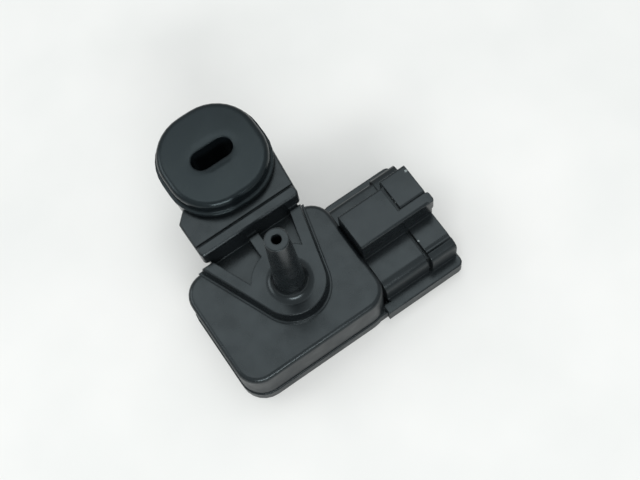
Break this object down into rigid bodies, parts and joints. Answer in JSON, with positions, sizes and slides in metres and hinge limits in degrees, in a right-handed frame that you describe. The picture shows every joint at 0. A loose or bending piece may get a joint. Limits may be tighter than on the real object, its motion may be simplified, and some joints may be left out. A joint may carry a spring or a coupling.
{
  "type": "manifold pressure sensor",
  "caption": "Small moulded pressure sensor with a hose nozzle, a plug socket on one side and a rubber-bushed tab on another.",
  "frame": {"origin": "where the nozzle's axis meets the underside of the base", "axes": "+Z along the nozzle towards its tip, +X towards the connector's mouth, +Y towards the mounting tab's eye"},
  "size_m": [0.0505, 0.0533, 0.0383],
  "materials": {
    "cover_plastic": "moulded glass-filled polymer, satin",
    "housing_plastic": "moulded glass-filled polymer, satin",
    "sealant": "cured sealant",
    "grommet_rubber": "moulded rubber, faintly glossy",
    "board": "solder-masked laminate",
    "terminal_brass": "tinned",
    "solder": "bright tin alloy",
    "chip_epoxy": "moulded epoxy",
    "pedestal_glass": "cut glass",
    "silicon": "polished silicon",
    "lid_steel": "nickel plated",
    "seal_rubber": "moulded rubber",
    "lead_tin": "tinned",
    "ceramic": "fired ceramic",
    "resistor_coat": "glazed ceramic"
  },
  "bodies": {
    "root": {"cover": "cover_plastic", "connector_housing": "housing_plastic", "cover_sealant_bead": "sealant", "grommet": "grommet_rubber", "circuit_board": "board", "terminal_ground": "terminal_brass", "terminal_signal": "terminal_brass", "terminal_supply": "terminal_brass", "solder_joint_ground": "solder", "solder_joint_signal": "solder", "solder_joint_supply": "solder", "element_case": "chip_epoxy", "die_pedestal": "pedestal_glass", "pressure_die": "silicon", "element_lid": "lid_steel", "port_seal": "seal_rubber", "element_lead_left_1": "lead_tin", "element_lead_left_2": "lead_tin", "element_lead_left_3": "lead_tin", "element_lead_right_1": "lead_tin", "element_lead_right_2": "lead_tin", "element_lead_right_3": "lead_tin", "amplifier_chip": "chip_epoxy", "capacitor_1": "ceramic", "capacitor_2": "ceramic", "capacitor_3": "ceramic", "resistor_1": "resistor_coat", "resistor_2": "resistor_coat"}
  },
  "joints": []
}
